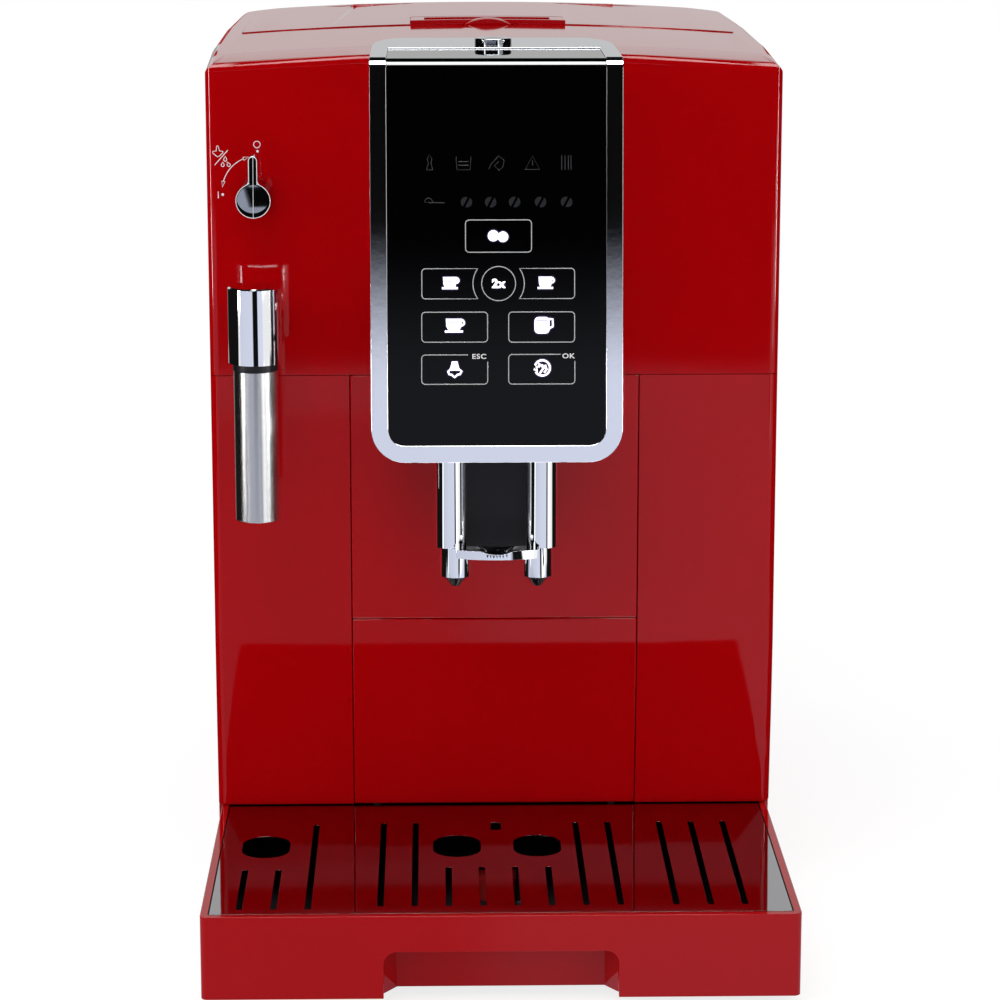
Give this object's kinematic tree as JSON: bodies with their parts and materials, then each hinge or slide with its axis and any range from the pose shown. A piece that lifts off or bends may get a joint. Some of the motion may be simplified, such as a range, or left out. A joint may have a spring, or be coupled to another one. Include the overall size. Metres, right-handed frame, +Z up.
{
  "type": "espresso machine",
  "caption": "Bean-to-cup espresso machine with sliding drip tray, height-adjustable twin spout, steam wand, bean hopper and side water tank.",
  "frame": {"origin": "on the surface the machine stands on, below the middle of its overall box", "axes": "+X to the right as seen from the front, +Y towards the back, +Z up"},
  "size_m": [0.236, 0.429, 0.3517],
  "materials": {
    "aluminium": "cast",
    "amber_clear": "clear smoke",
    "board_green": "satin",
    "brushed_steel": "brushed",
    "chrome": "bright chrome",
    "glass_black": "high gloss",
    "gloss_black": "gloss",
    "gloss_red": "high gloss",
    "grey_plastic": "satin",
    "polished_steel": "mirror polished",
    "red_float": "satin",
    "rubber": "matte",
    "satin_black": "satin",
    "smoke_clear": "clear smoke",
    "zinc_steel": "zinc plated"
  },
  "bodies": {
    "machine": {"base_pan": "satin_black", "feet": "rubber", "left_side_panel": "gloss_red", "right_side_panel": "gloss_red", "rear_panel": "satin_black", "top_cover": "gloss_red", "upper_fascia": "gloss_red", "front_left_panel": "gloss_red", "front_right_panel": "gloss_red", "front_center_panel": "gloss_red", "head_frame": "chrome", "control_glass": "glass_black", "control_board": "board_green", "spout_guide": "satin_black", "steam_valve": "grey_plastic", "hinge_pins": "zinc_steel", "bean_hopper": "amber_clear", "preground_funnel": "satin_black", "grinder_body": "grey_plastic", "grinder_motor": "zinc_steel", "grinder_stand": "grey_plastic", "deck": "satin_black", "tank_bay": "satin_black", "infuser_door": "satin_black", "infuser": "grey_plastic", "brew_frame": "grey_plastic", "brew_motor": "zinc_steel", "thermoblock": "aluminium", "water_pump": "zinc_steel", "pump_mounts": "rubber", "flow_meter": "grey_plastic", "main_board": "board_green", "power_inlet": "satin_black", "screws": "zinc_steel"},
    "power_button": {"power_button": "gloss_black"},
    "spout": {"spout_carrier": "gloss_black", "spout_columns": "chrome", "nozzle_tips": "gloss_black", "thumb_bar": "chrome"},
    "drip_tray": {"tray_front": "gloss_red", "tray_tub": "satin_black"},
    "cup_grid": {"cup_grid": "polished_steel"},
    "level_float": {"level_float": "red_float"},
    "grounds_container": {"grounds_bin": "satin_black", "grounds_front": "gloss_red"},
    "steam_knob": {"steam_knob": "gloss_black"},
    "steam_wand": {"wand_cap": "chrome", "wand_ring": "satin_black", "steam_pipe": "brushed_steel"},
    "wand_sleeve": {"steel_sleeve": "brushed_steel", "sleeve_liner": "satin_black"},
    "bean_lid": {"bean_lid": "gloss_red"},
    "preground_flap": {"preground_flap": "gloss_red"},
    "grinder_dial": {"grinder_dial": "satin_black"},
    "grinder_burr": {"grinder_burr": "brushed_steel"},
    "water_tank": {"water_tank": "smoke_clear", "tank_lid": "satin_black", "tank_valve": "grey_plastic"},
    "rocker_switch": {"rocker_switch": "gloss_black"}
  },
  "joints": [
    {"name": "power_press", "type": "slide", "parent": "machine", "child": "power_button", "axis": [0, 0, -1], "range_m": [0, 0.0015], "stiffness_N_per_m": 400, "springref_m": -0.001},
    {"name": "spout_height", "type": "slide", "parent": "machine", "child": "spout", "axis": [0, 0, 1], "range_m": [-0.016, 0.032]},
    {"name": "tray_slide", "type": "slide", "parent": "machine", "child": "drip_tray", "axis": [0, -1, 0], "range_m": [0, 0.29]},
    {"name": "grid_lift", "type": "slide", "parent": "drip_tray", "child": "cup_grid", "axis": [0, -0.1961, 0.9806], "range_m": [0, 0.0857]},
    {"name": "float_rise", "type": "slide", "parent": "drip_tray", "child": "level_float", "axis": [0, 0, 1], "range_m": [0, 0.006]},
    {"name": "grounds_slide", "type": "slide", "parent": "drip_tray", "child": "grounds_container", "axis": [0, -1, 0], "range_m": [0, 0.12]},
    {"name": "steam_turn", "type": "hinge", "parent": "machine", "child": "steam_knob", "pos_m": [-0.0948, -0.084, 0.2918], "axis": [0, -1, 0], "range_deg": [0, 90]},
    {"name": "wand_swing", "type": "hinge", "parent": "machine", "child": "steam_wand", "pos_m": [-0.094, -0.084, 0.246], "axis": [0, 1, 0], "range_deg": [-10, 50]},
    {"name": "sleeve_slide", "type": "slide", "parent": "steam_wand", "child": "wand_sleeve", "axis": [0, 0, -1], "range_m": [0, 0.04]},
    {"name": "lid_open", "type": "hinge", "parent": "machine", "child": "bean_lid", "pos_m": [0, 0.2015, 0.3483], "axis": [-1, 0, 0], "range_deg": [0, 75]},
    {"name": "flap_open", "type": "hinge", "parent": "bean_lid", "child": "preground_flap", "pos_m": [0, 0.1078, 0.3481], "axis": [-1, 0, 0], "range_deg": [0, 90]},
    {"name": "grind_setting", "type": "hinge", "parent": "machine", "child": "grinder_dial", "pos_m": [0.056, 0.1725, 0.32], "axis": [0, 0, 1], "range_deg": [-120, 120]},
    {"name": "burr_spin", "type": "hinge", "parent": "machine", "child": "grinder_burr", "pos_m": [-0.052, 0.134, 0.23], "axis": [0, 0, 1], "continuous": true},
    {"name": "tank_slide", "type": "slide", "parent": "machine", "child": "water_tank", "axis": [1, 0, 0], "range_m": [0, 0.12]},
    {"name": "switch_rock", "type": "hinge", "parent": "machine", "child": "rocker_switch", "pos_m": [-0.018, 0.2085, 0.024], "axis": [0, 0, 1], "range_deg": [-6, 6]}
  ]
}
